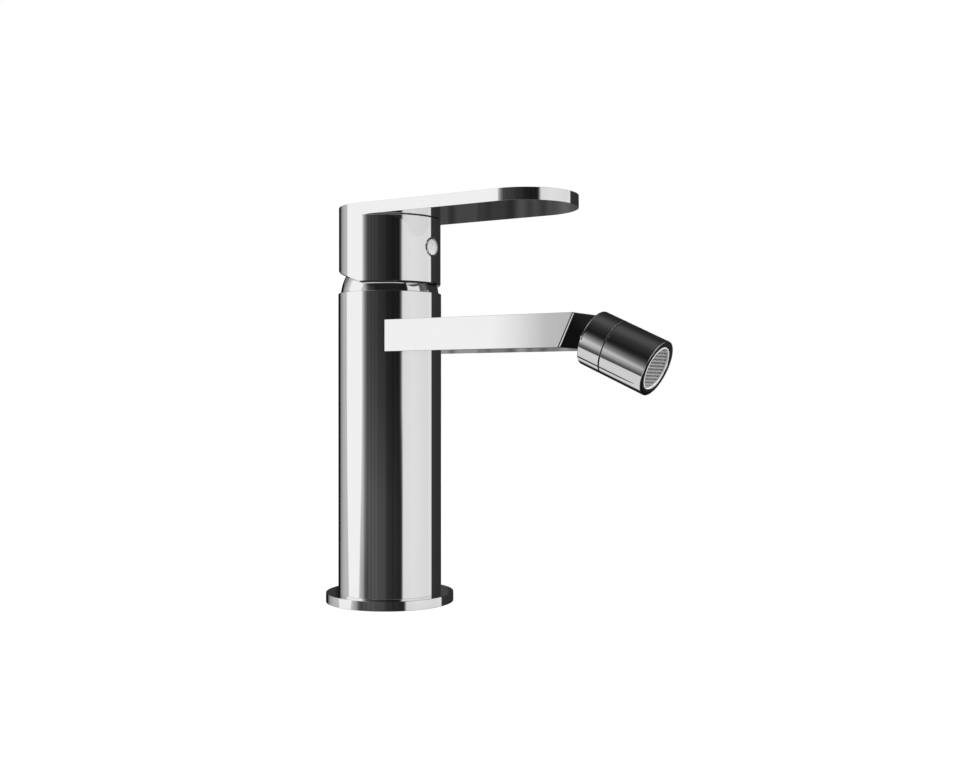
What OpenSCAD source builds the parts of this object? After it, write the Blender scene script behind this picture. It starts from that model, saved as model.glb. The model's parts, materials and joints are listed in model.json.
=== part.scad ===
// Single-lever bidet mixer with a flat bar spout and a ball-jointed nozzle.
// Origin: body axis at the underside of the foot. +Z up, the spout points to -Y. Millimetres.

/* [Body] */
// Diameter of the body tube
body_d = 46; // [44:0.5:56]
// Height of the body tube's rim above the deck
body_h = 137.3; // [110:0.1:220]
// Diameter of the foot flange
flange_d = 57; // [54:0.5:75]
// Thickness of the foot flange
flange_h = 4.2; // [3:0.1:8]
// Height of the inlet block inside the body
block_h = 18; // [14:0.5:30]

/* [Spout] */
// Width of the bar spout
spout_w = 40; // [30:0.5:44]
// Height of the bar spout
spout_h = 13.7; // [12:0.1:18]
// Drop from the body's rim to the top of the spout
spout_drop = 12.7; // [10:0.1:14]
// Reach from the body axis to the spout's upper front edge
spout_reach = 102.1; // [80:0.1:160]
// Wall of the hollow spout
spout_wall = 2.6; // [1.5:0.1:3.5]
// Slope of the spout's end face, and dip of the nozzle, in degrees
end_slope = 25; // [10:0.5:35]
// Thickness of the slanted end wall
end_wall = 6; // [4:0.5:9]

/* [Nozzle] */
// Diameter of the nozzle sleeves
nozzle_d = 23.4; // [22.6:0.1:30]
// Length of the whole nozzle
nozzle_l = 30.3; // [28:0.1:45]
// Length of the rear sleeve, up to the seam
collar_l = 10.5; // [9.5:0.1:12]
// Gap between the spout's end face and the nozzle
nozzle_gap = 2.9; // [2.7:0.1:6]
// Drop of the nozzle axis below the middle of the end face, along the face
nozzle_drop = 1.3; // [0:0.1:2]
// Radius of the swivel ball
ball_r = 8.25; // [7.8:0.05:8.6]
// Depth of the ball's centre behind the rear edge of the nozzle
ball_depth = 8.5; // [8:0.1:10]
// Radius of the neck that carries the ball
neck_r = 5.8; // [5:0.1:6]
// Mesh width of the outlet grid, bar to bar
grid_pitch = 1.7; // [1.2:0.1:3]

/* [Handle] */
// Diameter of the handle's cap and width of its lever
handle_d = 45.5; // [45:0.5:60]
// Gap between the body's rim and the front rim of the cap
rim_gap = 3.8; // [3.2:0.1:8]
// Height of the handle from its front rim to the top of the lever
handle_h = 34.4; // [30:0.1:45]
// Thickness of the lever plate
lever_t = 5.2; // [4:0.1:8]
// Reach from the body axis to the centre of the lever's round tip
lever_reach = 69; // [45:0.5:110]
// Wall of the cap
cap_wall = 1.25; // [1:0.05:1.4]
// Rise of the cap's rim behind the axis, in degrees
rim_slope = 18; // [15:0.5:24]
// Height of the screw hole above the cap's front rim
screw_rise = 16; // [14:0.5:22]
// Diameter of the index plug
plug_d = 8.7; // [6:0.1:10]
// Fillet between the cap and the underside of the lever
lever_fillet = 0.5; // [0.3:0.1:2]

/* [Cartridge] */
// Diameter of the cartridge
cartridge_d = 35; // [34:0.5:36]
// Thickness of one ceramic disc
disc_t = 3.5; // [3:0.1:4]
// Diameter of the moving disc
moving_disc_d = 26; // [24:0.5:26]
// Height of the cartridge base
base_h = 7; // [6.5:0.1:9]
// Side of the square spindle
spindle_w = 8; // [6:0.5:8]
// Distance from the lever's pivot down to the spindle's driving ball
drive_arm = 12.5; // [11:0.1:13]
// Full lift of the lever, in degrees
lift_max = 25; // [15:1:25]

/* [Connections] */
// Nominal diameter of the hose threads
hose_thread_d = 10; // [8:1:12]
// Distance between the two hose threads
hose_pitch = 14; // [13:0.5:18]
// Nominal diameter of the fixing stud thread
stud_thread_d = 8; // [6:1:10]
// Depth of the threads in the inlet block
thread_depth = 11; // [8:0.5:13]

/* [Fits] */
// Gap between two fixed pieces that plug into each other
fit_gap = 0.05; // [0.02:0.01:0.08]
// Radial gap of a piece that turns in another
run_gap = 0.1; // [0.05:0.01:0.12]
// Free gap beside a piece that slides or swings
free_gap = 0.3; // [0.2:0.05:0.4]
// Broken edge on the plated pieces
edge_break = 0.3; // [0.2:0.05:0.5]

/* [Hidden] */
$fn = 96;
// Overlap of a cutting shape past the face it cuts
cut = 1;
body_r = body_d / 2;
cartridge_r = cartridge_d / 2;

// Body: the chamber round the cartridge, and the hose cavity below the inlet block
chamber_gap = 2.5;
chamber_r = cartridge_r + chamber_gap;
ledge_w = 1;
spigot_wall = 2;
cavity_r = chamber_r - ledge_w;
flange_r = flange_d / 2;
spigot_r = cavity_r + spigot_wall;
gasket_h = 2;
gasket_w = 3;
gasket_r = (flange_r + spigot_r) / 2;

// Cartridge, counted down from the body's rim
skirt_h = 1.8;
nut_h = 3;
nut_hex_h = 4;
nut_hex_af = 30;
shoulder_t = 1.5;
turret_flange_h = 2.2;
carrier_h = 4.2;
nut_top_z = body_h - skirt_h;
shoulder_z = nut_top_z - nut_h;
housing_top_z = shoulder_z - shoulder_t;
turret_flange_z = housing_top_z - free_gap - turret_flange_h;
carrier_top_z = turret_flange_z - free_gap;
carrier_z = carrier_top_z - carrier_h;
moving_disc_z = carrier_z - disc_t;
fixed_disc_z = moving_disc_z - disc_t;
seat_z = fixed_disc_z - base_h;
block_z = seat_z - block_h;

// Cartridge, across
housing_wall = 1.5;
housing_r = cartridge_r - housing_wall;
neck_bore_r = 11.7;
neck_wall = 1.5;
housing_neck_r = neck_bore_r + neck_wall;
turret_r = neck_bore_r - run_gap;
base_lip_h = 0.8;
oring_section_r = 1.38;
oring_r = chamber_r - oring_section_r - fit_gap / 2;
oring_drop = 3.5;
oring_z = housing_top_z - oring_drop;

// Spindle, its pivot and the slide of the moving disc
drive_ball_r = 2.4;
drive_ball_drop = 1.2;
drive_ball_z = carrier_top_z - drive_ball_drop;
pivot_z = drive_ball_z + drive_arm;
pin_r = 1.5;
pin_inset = 0.9;
neck_rise = 4;
neck_top_z = pivot_z + neck_rise;
arm_r = 2;
arm_top_drop = 3;
slide_travel = drive_arm * sin(lift_max);
slide_mid = slide_travel / 2;
slot_room = 1;
rail_x = 11;

// Ceramic ports
inlet_x = 5;
inlet_y = -5.5;
inlet_r = 2.3;
outlet_y = 3;
outlet_r = 3.2;
pocket_w = 15;
pocket_front = -1.2;
pocket_back = 8;
pocket_depth = 1.8;
seal_r = 4;
seal_h = 2;

// Handle
handle_r = handle_d / 2;
rim_z = body_h + rim_gap;
handle_top_z = rim_z + handle_h;
lever_z = handle_top_z - lever_t;
cap_bore_r = handle_r - cap_wall;
cap_roof = 1.5;
cap_roof_z = lever_z - cap_roof;
boss_r = 8.5;
screw_z = rim_z + screw_rise;
screw_r = 3;
screw_boss_r = 6;
boss_z = screw_z - screw_boss_r;
socket_roof = 2;
spindle_top_z = cap_roof_z - socket_roof;
screw_l = 9;
plug_r = plug_d / 2;
plug_proud = 0.1;
plug_l = 5.6;
hex_key = 3;
hex_depth = 3;

// Dome ring between the body and the cap: its round clears the cap's rim
dome_drop = 2.1;
dome_wall = 1.8;
dome_h = 10.3;
dome_rim_r = cap_bore_r - free_gap;
dome_r = sqrt(pow(dome_rim_r, 2) + pow(rim_gap + dome_drop, 2));
dome_foot_t = 1.2;
dome_foot_r = sqrt(pow(dome_r - dome_wall / 2, 2) - pow(dome_drop + dome_foot_t, 2));
skirt_w = 1.4;
skirt_r = chamber_r - fit_gap;
skirt_inner_r = skirt_r - skirt_w;

// Spout
spout_top_z = body_h - spout_drop;
spout_z = spout_top_z - spout_h;
spout_mid_z = spout_z + spout_h / 2;
spout_rear_wall = 3;
port_edge = 1.4;
port_r = spout_h / 2 - port_edge;
port_wall = 1.2;

// Nozzle frame: z along the nozzle from the end face, y up the face
face_y = -(spout_reach - spout_h / 2 * tan(end_slope)) + nozzle_drop * sin(end_slope);
face_z = spout_mid_z - nozzle_drop * cos(end_slope);
nozzle_r = nozzle_d / 2;
ball_z = nozzle_gap + ball_depth;
nozzle_end = nozzle_gap + nozzle_l;
seam_z = nozzle_gap + collar_l;
stud_r = 4;
stud_proud = 1;
stud_l = end_wall + stud_proud;
stud_bore_r = 2.2;
gasket_t = 0.5;
seat_t = 1.05;
seat_in_r = ball_r + run_gap;
seat_out_r = seat_in_r + seat_t;
socket_r = seat_out_r + run_gap;
socket_wall = 1;
rear_seat_a = [-3.6, -0.65];
front_seat_a = [1.4, 4.5];
collar_spigot_r = socket_r + socket_wall;
lip_angle = 34;
lip_a = socket_r * sin(lip_angle);
lip_r = socket_r * cos(lip_angle);
mouth_flare = 11;
bush_z = ball_z + front_seat_a[1];
spigot_end = bush_z;
bore_step = 0.3;
sleeve_bore_r = collar_spigot_r - bore_step;
lip_l = 1.1;
lip_w = 2.5;
lip_hole_r = nozzle_r - lip_w;
lip_z = nozzle_end - lip_l;
insert_l = 8.2;
washer_t = 1.5;
insert_z = lip_z - insert_l;
washer_z = insert_z - washer_t;
bush_l = washer_z - bush_z;
bush_hole_r = 5.5;
ball_seal_a = [5.2, 7];
ball_seal_w = 1.05;
ball_seal_r = sqrt(pow(ball_r, 2) - pow(ball_seal_a[0], 2)) + free_gap;
insert_wall = 0.9;
screen_r = lip_hole_r - insert_wall;
screen_t = 0.6;
screen_sink = 1;
grid_bar = 0.9;
seam_break = 0.25;

// Corner radius of a hexagon that is af across its flats
function hex_r(af) = af / 2 / cos(30);

// Flat ring standing on z
module ring(z, h, outer, inner) {
    translate([0, 0, z])
        difference() {
            cylinder(h = h, r = outer);
            translate([0, 0, -cut]) cylinder(h = h + 2 * cut, r = inner);
        }
}

// Round ring of circular section
module o_ring(z, r, section_r) {
    translate([0, 0, z])
        rotate_extrude()
            translate([r, 0]) circle(r = section_r);
}

// Cylinder with both rims broken
module broken_cylinder(z, h, r, b = edge_break) {
    rotate_extrude()
        polygon([[0, z], [r - b, z], [r, z + b], [r, z + h - b], [r - b, z + h], [0, z + h]]);
}

// Places its children in the nozzle's own frame
module on_nozzle() {
    translate([0, face_y, face_z]) rotate([90 + end_slope, 0, 0]) children();
}

// Cylinder that runs forward, from y1 back to y0
module forward_cylinder(y0, y1, z, r) {
    translate([0, -y0, z]) rotate([90, 0, 0]) cylinder(h = y1 - y0, r = r);
}

// Ring of hard plastic on the swivel ball, between two planes across the nozzle
module ball_seat(span) {
    on_nozzle()
        translate([0, 0, ball_z])
            rotate_extrude()
                intersection() {
                    difference() {
                        circle(r = seat_out_r);
                        circle(r = seat_in_r);
                    }
                    translate([0, span[0]]) square([seat_out_r + cut, span[1] - span[0]]);
                }
}

// Plan of the cap and lever
module lever_plan() {
    circle(r = handle_r);
    translate([0, -lever_reach]) circle(r = handle_r);
    translate([-handle_r, -lever_reach]) square([handle_d, lever_reach]);
}

// Side outline of the spout between two heights, cut off parallel to the end face
module spout_side(rear, low, high, end_in) {
    end_at_high = spout_reach - (spout_top_z - high) * tan(end_slope) - end_in / cos(end_slope);
    end_at_low = end_at_high - (high - low) * tan(end_slope);
    polygon([[-rear, low], [-end_at_low, low], [-end_at_high, high], [-rear, high]]);
}

// Extrudes a side outline across the spout, centred on the body's plane of symmetry
module across(width) {
    translate([-width / 2, 0, 0]) rotate([90, 0, 90]) linear_extrude(height = width) children();
}

module base_flange() {
    color("silver")
        difference() {
            broken_cylinder(0, flange_h, flange_r);
            translate([0, 0, -cut]) cylinder(h = flange_h + 2 * cut, r = spigot_r + fit_gap);
            ring(-cut, gasket_h + cut, gasket_r + gasket_w / 2, gasket_r - gasket_w / 2);
        }
}

module base_gasket() {
    color("dimgray")
        ring(0, gasket_h, gasket_r + gasket_w / 2 - fit_gap, gasket_r - gasket_w / 2 + fit_gap);
}

module body() {
    color("silver")
        difference() {
            union() {
                cylinder(h = flange_h + cut, r = spigot_r);
                broken_cylinder(flange_h, body_h - flange_h, body_r);
            }
            translate([0, 0, -cut]) cylinder(h = block_z + 2 * cut, r = cavity_r);
            translate([0, 0, block_z]) cylinder(h = body_h - block_z + cut, r = chamber_r);
            forward_cylinder(0, body_r + cut, spout_mid_z, port_r + fit_gap);
        }
}

module inlet_block() {
    hose_y = -5;
    stud_y = 10;
    color("goldenrod")
        difference() {
            translate([0, 0, block_z]) cylinder(h = block_h, r = chamber_r - fit_gap);
            for (side = [-1, 1]) {
                translate([side * hose_pitch / 2, hose_y, block_z - cut])
                    cylinder(h = thread_depth + cut, r = hose_thread_d / 2);
                translate([side * inlet_x, inlet_y, block_z + thread_depth - cut])
                    cylinder(h = block_h, r = inlet_r);
            }
            translate([0, stud_y, block_z - cut])
                cylinder(h = thread_depth + cut, r = stud_thread_d / 2);
            o_ring(block_z + block_h / 2, oring_r, oring_section_r + fit_gap);
        }
}

module block_oring() {
    color("dimgray") o_ring(block_z + block_h / 2, oring_r, oring_section_r);
}

module spout() {
    color("silver")
        difference() {
            union() {
                difference() {
                    across(spout_w) spout_side(0, spout_z, spout_top_z, 0);
                    translate([0, 0, spout_z - cut])
                        cylinder(h = spout_h + 2 * cut, r = body_r + fit_gap);
                }
                forward_cylinder(chamber_r, body_r + spout_rear_wall, spout_mid_z, port_r);
            }
            across(spout_w - 2 * spout_wall)
                spout_side(body_r + spout_rear_wall, spout_z + spout_wall,
                           spout_top_z - spout_wall, end_wall);
            forward_cylinder(0, body_r + spout_rear_wall + cut, spout_mid_z, port_r - port_wall);
            on_nozzle()
                translate([0, 0, -stud_l - cut]) cylinder(h = stud_l + 2 * cut, r = stud_r + fit_gap);
        }
}

module cartridge_base() {
    outlet_h = 3.4;
    outlet_w = 6;
    outlet_low = 2.3;
    color("whitesmoke")
        difference() {
            union() {
                translate([0, 0, seat_z]) cylinder(h = base_h - base_lip_h, r = cartridge_r);
                translate([0, 0, seat_z]) cylinder(h = base_h, r = housing_r - fit_gap);
            }
            for (side = [-1, 1])
                translate([side * inlet_x, inlet_y, 0]) {
                    translate([0, 0, seat_z - cut]) cylinder(h = base_h + 2 * cut, r = inlet_r);
                    translate([0, 0, seat_z - cut]) cylinder(h = seal_h + cut, r = seal_r);
                }
            translate([0, outlet_y, seat_z + outlet_low]) cylinder(h = base_h, r = outlet_r);
            translate([-outlet_w / 2, outlet_y, seat_z + outlet_low])
                cube([outlet_w, cartridge_r, outlet_h]);
        }
}

module port_seals() {
    color("dimgray")
        for (side = [-1, 1])
            translate([side * inlet_x, inlet_y, 0])
                ring(seat_z, seal_h, seal_r - fit_gap, inlet_r);
}

module fixed_disc() {
    color("white")
        difference() {
            translate([0, 0, fixed_disc_z]) cylinder(h = disc_t, r = housing_r - fit_gap);
            for (side = [-1, 1])
                translate([side * inlet_x, inlet_y, fixed_disc_z - cut])
                    cylinder(h = disc_t + 2 * cut, r = inlet_r);
            translate([0, outlet_y, fixed_disc_z - cut]) cylinder(h = disc_t + 2 * cut, r = outlet_r);
        }
}

module cartridge_housing() {
    skirt_z = seat_z + base_h - base_lip_h;
    color("whitesmoke")
        difference() {
            union() {
                translate([0, 0, skirt_z]) cylinder(h = shoulder_z - skirt_z, r = cartridge_r);
                translate([0, 0, skirt_z]) cylinder(h = neck_top_z - skirt_z, r = housing_neck_r);
            }
            translate([0, 0, skirt_z - cut]) cylinder(h = housing_top_z - skirt_z + cut, r = housing_r);
            translate([0, 0, skirt_z]) cylinder(h = neck_top_z - skirt_z + cut, r = neck_bore_r);
            o_ring(oring_z, oring_r, oring_section_r + fit_gap);
        }
}

module cartridge_oring() {
    color("dimgray") o_ring(oring_z, oring_r, oring_section_r);
}

module cartridge_nut() {
    color("goldenrod")
        difference() {
            union() {
                translate([0, 0, shoulder_z]) cylinder(h = nut_h, r = chamber_r - fit_gap);
                translate([0, 0, nut_top_z])
                    cylinder(h = nut_hex_h, r = hex_r(nut_hex_af), $fn = 6);
            }
            translate([0, 0, shoulder_z - cut])
                cylinder(h = nut_h + nut_hex_h + 2 * cut, r = housing_neck_r + free_gap);
        }
}

module dome_ring() {
    color("silver")
        rotate_extrude()
            union() {
                intersection() {
                    translate([0, body_h - dome_drop])
                        difference() {
                            circle(r = dome_r);
                            circle(r = dome_r - dome_wall);
                        }
                    translate([0, body_h]) square([dome_r + cut, dome_h]);
                }
                translate([skirt_inner_r, body_h]) square([dome_foot_r - skirt_inner_r, dome_foot_t]);
                translate([skirt_inner_r, nut_top_z]) square([skirt_w, skirt_h + dome_foot_t]);
            }
}

module turret() {
    slot_w = spindle_w + 2 * free_gap;
    slot_back = spindle_w / 2 + neck_rise * tan(lift_max) + slot_room;
    slot_front = arm_r + drive_arm * tan(lift_max) + slot_room;
    rail_h = turret_flange_z + turret_flange_h - carrier_z - free_gap;
    color("lightgray")
        difference() {
            union() {
                translate([0, 0, turret_flange_z])
                    cylinder(h = neck_top_z - turret_flange_z, r = turret_r);
                translate([0, 0, turret_flange_z])
                    cylinder(h = turret_flange_h, r = housing_r - free_gap);
                intersection() {
                    translate([0, 0, carrier_z + free_gap]) cylinder(h = rail_h, r = housing_r - free_gap);
                    for (side = [-1, 1])
                        translate([side * (rail_x + housing_r) / 2, 0, carrier_z])
                            cube([housing_r - rail_x, housing_r, 2 * rail_h + 2 * free_gap], center = true);
                }
            }
            translate([-slot_w / 2, -slot_front, carrier_z])
                cube([slot_w, slot_front + slot_back, neck_top_z - carrier_z + cut]);
            translate([-turret_r, 0, pivot_z]) rotate([0, 90, 0]) cylinder(h = 2 * turret_r, r = pin_r);
        }
}

module pivot_pin() {
    pin_l = 2 * (turret_r - pin_inset);
    color("gray")
        translate([-pin_l / 2, 0, pivot_z]) rotate([0, 90, 0]) cylinder(h = pin_l, r = pin_r);
}

module moving_disc() {
    color("white")
        difference() {
            translate([0, slide_mid, moving_disc_z]) cylinder(h = disc_t, r = moving_disc_d / 2);
            translate([-pocket_w / 2, pocket_front, moving_disc_z - cut])
                cube([pocket_w, pocket_back - pocket_front, pocket_depth + cut]);
        }
}

module disc_carrier() {
    color("lightgray")
        difference() {
            intersection() {
                translate([0, slide_mid, carrier_z]) cylinder(h = carrier_h, r = moving_disc_d / 2);
                translate([-rail_x + free_gap, -housing_r, carrier_z - cut])
                    cube([2 * (rail_x - free_gap), 2 * housing_r, carrier_h + 2 * cut]);
            }
            translate([0, 0, drive_ball_z - drive_ball_r - free_gap])
                cylinder(h = carrier_h, r = drive_ball_r + free_gap);
        }
}

module spindle() {
    shank_z = pivot_z - arm_top_drop;
    color("gray")
        difference() {
            union() {
                translate([-spindle_w / 2, -spindle_w / 2, shank_z])
                    cube([spindle_w, spindle_w, spindle_top_z - shank_z]);
                translate([0, 0, drive_ball_z]) cylinder(h = drive_arm - arm_top_drop + cut, r = arm_r);
                translate([0, 0, drive_ball_z]) sphere(r = drive_ball_r);
            }
            translate([-spindle_w, 0, pivot_z])
                rotate([0, 90, 0]) cylinder(h = 2 * spindle_w, r = pin_r + run_gap / 2);
        }
}

module handle() {
    socket_w = spindle_w + 2 * fit_gap;
    screw_hole_front = spindle_w / 2 + screw_l;
    color("silver")
        difference() {
            union() {
                difference() {
                    union() {
                        translate([0, 0, rim_z]) cylinder(h = handle_h, r = handle_r);
                        translate([0, 0, lever_z]) linear_extrude(height = lever_t) lever_plan();
                        lever_fillet_ring();
                    }
                    translate([0, 0, rim_z - cut]) cylinder(h = cap_roof_z - rim_z + cut, r = cap_bore_r);
                }
                translate([0, 0, boss_z]) cylinder(h = cap_roof_z - boss_z + cut, r = boss_r);
                intersection() {
                    forward_cylinder(0, handle_r, screw_z, screw_boss_r);
                    translate([0, 0, rim_z]) cylinder(h = handle_h, r = cap_bore_r + cap_wall / 2);
                }
            }
            translate([0, 0, rim_z])
                rotate([rim_slope, 0, 0])
                    translate([-handle_d, 0, -handle_h]) cube([2 * handle_d, handle_d, handle_h]);
            translate([-socket_w / 2, -socket_w / 2, boss_z - cut])
                cube([socket_w, socket_w, spindle_top_z + fit_gap - boss_z + cut]);
            forward_cylinder(0, handle_r, screw_z, screw_r);
            forward_cylinder(screw_hole_front, handle_r + cut, screw_z, plug_r + fit_gap);
        }
}

// Hollow rounding where the cap meets the underside of the lever
module lever_fillet_ring() {
    intersection() {
        rotate_extrude()
            difference() {
                translate([handle_r - cap_wall / 2, lever_z - lever_fillet])
                    square([lever_fillet + cap_wall / 2, lever_fillet + lever_t / 2]);
                translate([handle_r + lever_fillet, lever_z - lever_fillet]) circle(r = lever_fillet);
            }
        translate([-handle_r, -handle_d, lever_z - handle_h]) cube([handle_d, handle_d, 2 * handle_h]);
    }
}

module grub_screw() {
    color("dimgray")
        difference() {
            forward_cylinder(spindle_w / 2, spindle_w / 2 + screw_l, screw_z, screw_r - fit_gap);
            translate([0, -spindle_w / 2 - screw_l + hex_depth, screw_z])
                rotate([90, 0, 0]) cylinder(h = hex_depth + cut, r = hex_r(hex_key), $fn = 6);
        }
}

module index_plug() {
    plug_front = handle_r + plug_proud;
    color("silver")
        translate([0, -plug_front + plug_l, screw_z])
            rotate([90, 0, 0]) broken_cylinder(0, plug_l, plug_r);
}

module ball_stud() {
    color("silver")
        on_nozzle()
            difference() {
                union() {
                    translate([0, 0, -stud_l]) cylinder(h = stud_l + cut, r = stud_r);
                    cylinder(h = ball_z, r = neck_r);
                    translate([0, 0, ball_z]) sphere(r = ball_r);
                }
                ring(-cut, gasket_t + cut, neck_r - gasket_t, stud_r);
                translate([0, 0, -stud_l - cut])
                    cylinder(h = ball_z + ball_r + stud_l + 2 * cut, r = stud_bore_r);
            }
}

module stud_gasket() {
    color("dimgray")
        on_nozzle() ring(0, gasket_t, neck_r - gasket_t - fit_gap, stud_r + fit_gap);
}

module rear_seat() {
    color("whitesmoke") ball_seat(rear_seat_a);
}

module front_seat() {
    color("whitesmoke") ball_seat(front_seat_a);
}

module ball_collar() {
    mouth_l = ball_depth - lip_a;
    color("silver")
        on_nozzle()
            difference() {
                union() {
                    broken_cylinder(nozzle_gap, collar_l, nozzle_r, seam_break);
                    translate([0, 0, nozzle_gap + collar_l / 2])
                        cylinder(h = spigot_end - nozzle_gap - collar_l / 2, r = collar_spigot_r);
                }
                translate([0, 0, ball_z]) sphere(r = socket_r);
                translate([0, 0, nozzle_gap - cut])
                    cylinder(h = mouth_l + 2 * cut, r1 = lip_r + (mouth_l + cut) * tan(mouth_flare),
                             r2 = lip_r - cut * tan(mouth_flare));
            }
}

module ball_seal() {
    color("dimgray")
        on_nozzle()
            ring(ball_z + ball_seal_a[0], ball_seal_a[1] - ball_seal_a[0],
                 ball_seal_r + ball_seal_w, ball_seal_r);
}

module seat_bush() {
    seal_pocket_h = ball_seal_a[1] - front_seat_a[1];
    color("whitesmoke")
        on_nozzle()
            difference() {
                translate([0, 0, bush_z]) cylinder(h = bush_l, r = sleeve_bore_r - fit_gap);
                translate([0, 0, bush_z - cut])
                    cylinder(h = seal_pocket_h + cut, r = ball_seal_r + ball_seal_w + fit_gap);
                translate([0, 0, bush_z - cut]) cylinder(h = bush_l + 2 * cut, r = bush_hole_r);
            }
}

module aerator_washer() {
    washer_hole_r = 7.6;
    color("dimgray")
        on_nozzle() ring(washer_z, washer_t, sleeve_bore_r - fit_gap, washer_hole_r);
}

module aerator_insert() {
    jet_plate_z = insert_z + 3;
    jet_plate_t = 1.5;
    jets = 12;
    jet_ring_r = 5.5;
    jet_r = 0.6;
    front_z = nozzle_end - screen_sink / 2;
    color("whitesmoke")
        on_nozzle()
            difference() {
                union() {
                    translate([0, 0, insert_z]) cylinder(h = insert_l, r = sleeve_bore_r - fit_gap);
                    translate([0, 0, insert_z]) cylinder(h = front_z - insert_z, r = lip_hole_r - fit_gap);
                }
                translate([0, 0, insert_z - cut]) cylinder(h = jet_plate_z - insert_z + cut, r = screen_r);
                translate([0, 0, jet_plate_z + jet_plate_t]) cylinder(h = insert_l + cut, r = screen_r);
                for (i = [0 : jets - 1])
                    rotate([0, 0, i * 360 / jets])
                        translate([jet_ring_r, 0, jet_plate_z - cut])
                            cylinder(h = jet_plate_t + 2 * cut, r = jet_r);
            }
}

module aerator_sieve() {
    sieve_t = 1;
    hole_r = 0.8;
    hole_rings = 3;
    ring_step = 2.3;
    color("lightgray")
        on_nozzle()
            difference() {
                translate([0, 0, insert_z]) cylinder(h = sieve_t, r = screen_r - fit_gap);
                for (row = [1 : hole_rings])
                    for (i = [0 : 6 * row - 1])
                        rotate([0, 0, i * 60 / row])
                            translate([row * ring_step, 0, insert_z - cut])
                                cylinder(h = sieve_t + 2 * cut, r = hole_r);
            }
}

module aerator_screen() {
    rim_w = 0.5;
    bars = floor(screen_r / grid_pitch);
    screen_z = nozzle_end - screen_sink - screen_t;
    color("lightgray")
        on_nozzle()
            translate([0, 0, screen_z]) {
                ring(0, screen_t, screen_r - fit_gap, screen_r - fit_gap - rim_w);
                linear_extrude(height = screen_t)
                    intersection() {
                        circle(r = screen_r - fit_gap - rim_w / 2);
                        for (i = [-bars : bars])
                            for (turn = [0, 90])
                                rotate([0, 0, turn])
                                    translate([i * grid_pitch, 0])
                                        square([grid_bar, 2 * screen_r], center = true);
                    }
            }
}

module aerator_housing() {
    color("silver")
        on_nozzle()
            difference() {
                broken_cylinder(seam_z, nozzle_end - seam_z, nozzle_r, seam_break);
                translate([0, 0, seam_z - cut])
                    cylinder(h = spigot_end - seam_z + cut, r = collar_spigot_r + fit_gap);
                translate([0, 0, seam_z]) cylinder(h = lip_z - seam_z, r = sleeve_bore_r);
                translate([0, 0, lip_z - cut]) cylinder(h = lip_l + 2 * cut, r = lip_hole_r);
            }
}

base_flange();
base_gasket();
body();
inlet_block();
block_oring();
spout();
cartridge_base();
port_seals();
fixed_disc();
cartridge_housing();
cartridge_oring();
cartridge_nut();
dome_ring();
turret();
pivot_pin();
moving_disc();
disc_carrier();
spindle();
handle();
grub_screw();
index_plug();
ball_stud();
stud_gasket();
rear_seat();
front_seat();
ball_collar();
ball_seal();
seat_bush();
aerator_washer();
aerator_insert();
aerator_sieve();
aerator_screen();
aerator_housing();
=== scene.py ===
"""Chromed single-lever bidet mixer with a swivelling nozzle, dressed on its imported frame."""

import json
import math

import bmesh
import bpy
from mathutils import Matrix, Vector


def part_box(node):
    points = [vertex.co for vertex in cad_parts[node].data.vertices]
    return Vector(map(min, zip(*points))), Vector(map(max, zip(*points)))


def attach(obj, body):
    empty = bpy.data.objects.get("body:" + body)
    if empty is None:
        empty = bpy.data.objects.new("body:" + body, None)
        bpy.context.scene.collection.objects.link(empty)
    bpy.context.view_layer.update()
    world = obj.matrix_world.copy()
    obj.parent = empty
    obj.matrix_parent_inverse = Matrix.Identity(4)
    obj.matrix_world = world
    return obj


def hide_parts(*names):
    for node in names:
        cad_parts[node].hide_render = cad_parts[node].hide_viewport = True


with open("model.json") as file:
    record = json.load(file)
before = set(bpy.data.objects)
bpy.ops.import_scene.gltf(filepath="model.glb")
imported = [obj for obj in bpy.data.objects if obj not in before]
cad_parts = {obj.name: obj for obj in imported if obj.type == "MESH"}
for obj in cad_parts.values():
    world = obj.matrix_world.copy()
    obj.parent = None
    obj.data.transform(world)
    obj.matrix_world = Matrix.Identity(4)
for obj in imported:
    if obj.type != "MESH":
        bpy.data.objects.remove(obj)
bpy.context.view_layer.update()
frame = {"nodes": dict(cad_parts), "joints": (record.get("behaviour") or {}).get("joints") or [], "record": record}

bl_info = {
    "name": "Bidet mixer",
    "version": (1, 0, 0),
    "blender": (4, 5, 0),
    "location": "View3D > Sidebar > Mixer",
    "description": "Builds the chromed pieces, finishes and studio of a bidet mixer",
    "category": "Object",
}

MM = 0.001
MERGE = 2e-6
SPIN_STEPS = 256
INSERT_STEPS = 128
PLUG_STEPS = 96
JET_STEPS = 16
ROUND_STEPS = 4
SHARP = math.radians(32)
BAR_CORNER = math.radians(50)
CAP_CORNER = math.radians(70)
FULL_TURN = 2 * math.pi

FLANGE_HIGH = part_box("base_flange")[1]
BODY_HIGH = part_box("body")[1]
BLOCK_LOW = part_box("inlet_block")[0]
GASKET_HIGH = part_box("base_gasket")[1]
DOME_LOW, DOME_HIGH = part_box("dome_ring")
SPOUT_LOW, SPOUT_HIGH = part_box("spout")
HANDLE_LOW, HANDLE_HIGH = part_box("handle")
PLUG_LOW, PLUG_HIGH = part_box("index_plug")
SPIN = next(joint for joint in frame["joints"] if joint["name"] == "nozzle_spin")


def length(name, description, default):
    """A size in metres."""
    return bpy.props.FloatProperty(
        name=name, description=description, default=default, unit="LENGTH", precision=5)


def angle(name, description, degrees):
    """An angle, given in degrees."""
    return bpy.props.FloatProperty(
        name=name, description=description, default=math.radians(degrees), subtype="ANGLE")


def colour(name, description, default):
    """A surface colour."""
    return bpy.props.FloatVectorProperty(
        name=name, description=description, default=default, subtype="COLOR", min=0, max=1)


def level(name, description, default):
    """A brightness, with 1 as white."""
    return bpy.props.FloatProperty(name=name, description=description, default=default, min=0)


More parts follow.
